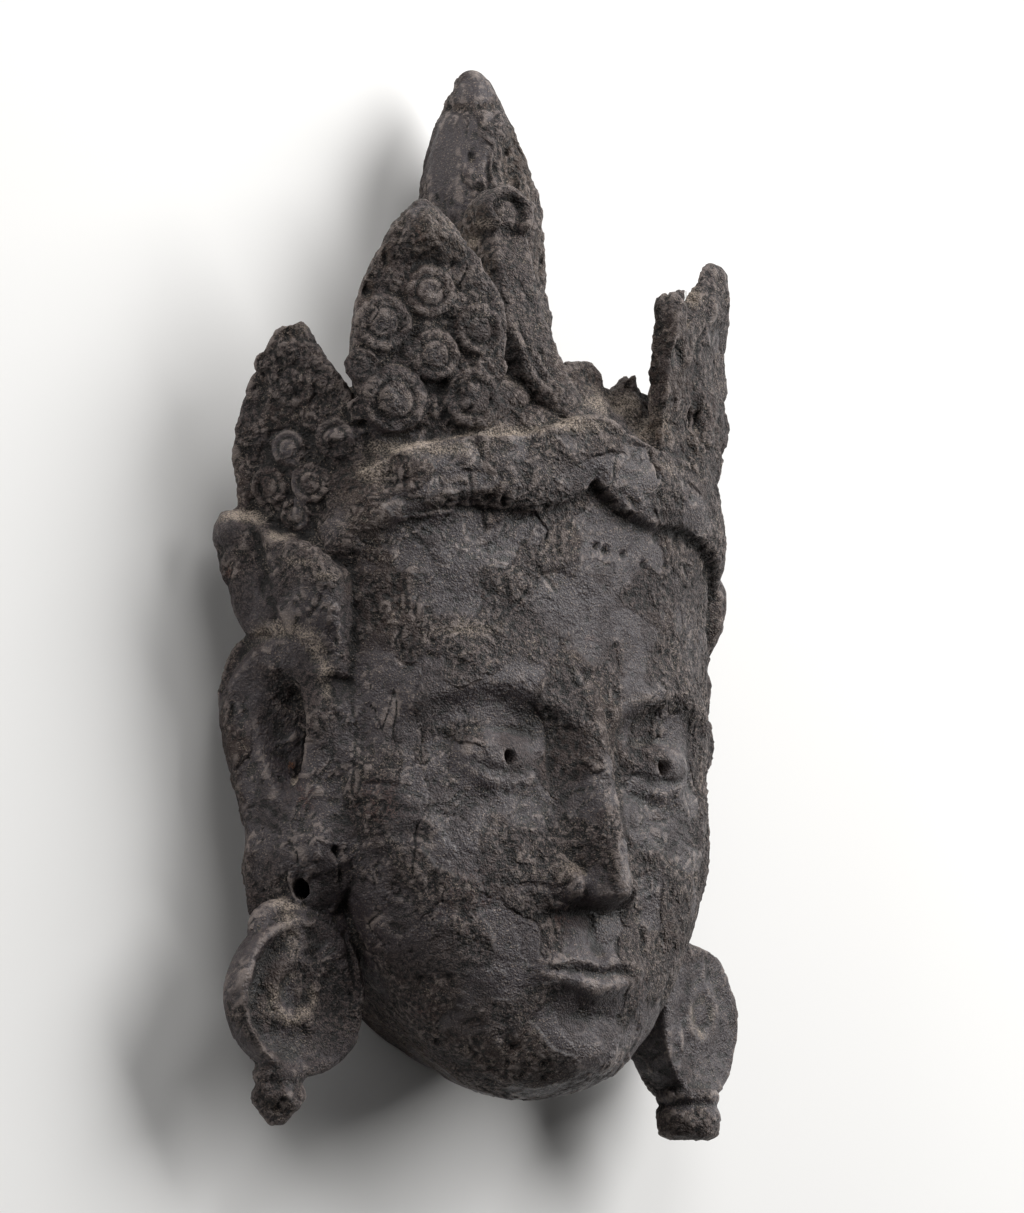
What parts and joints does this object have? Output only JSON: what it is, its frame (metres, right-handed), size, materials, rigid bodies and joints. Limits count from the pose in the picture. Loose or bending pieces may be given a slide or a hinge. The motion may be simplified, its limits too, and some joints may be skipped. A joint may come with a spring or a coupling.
{
  "type": "carved wooden mask",
  "caption": "Carved wooden mask of a crowned face, hollow behind, with ears, ear ornaments and a tall topknot.",
  "frame": {"origin": "under the middle of the mask, on the plane that its back rim lies on", "axes": "+X to the viewer's right of the face, +Y up the face to the topknot, +Z out of the face"},
  "size_m": [0.2322, 0.361, 0.0975],
  "materials": {
    "mask": "dark sooty patina over worn old lacquer, satin"
  },
  "bodies": {
    "root": {"mask": "mask"}
  },
  "joints": []
}
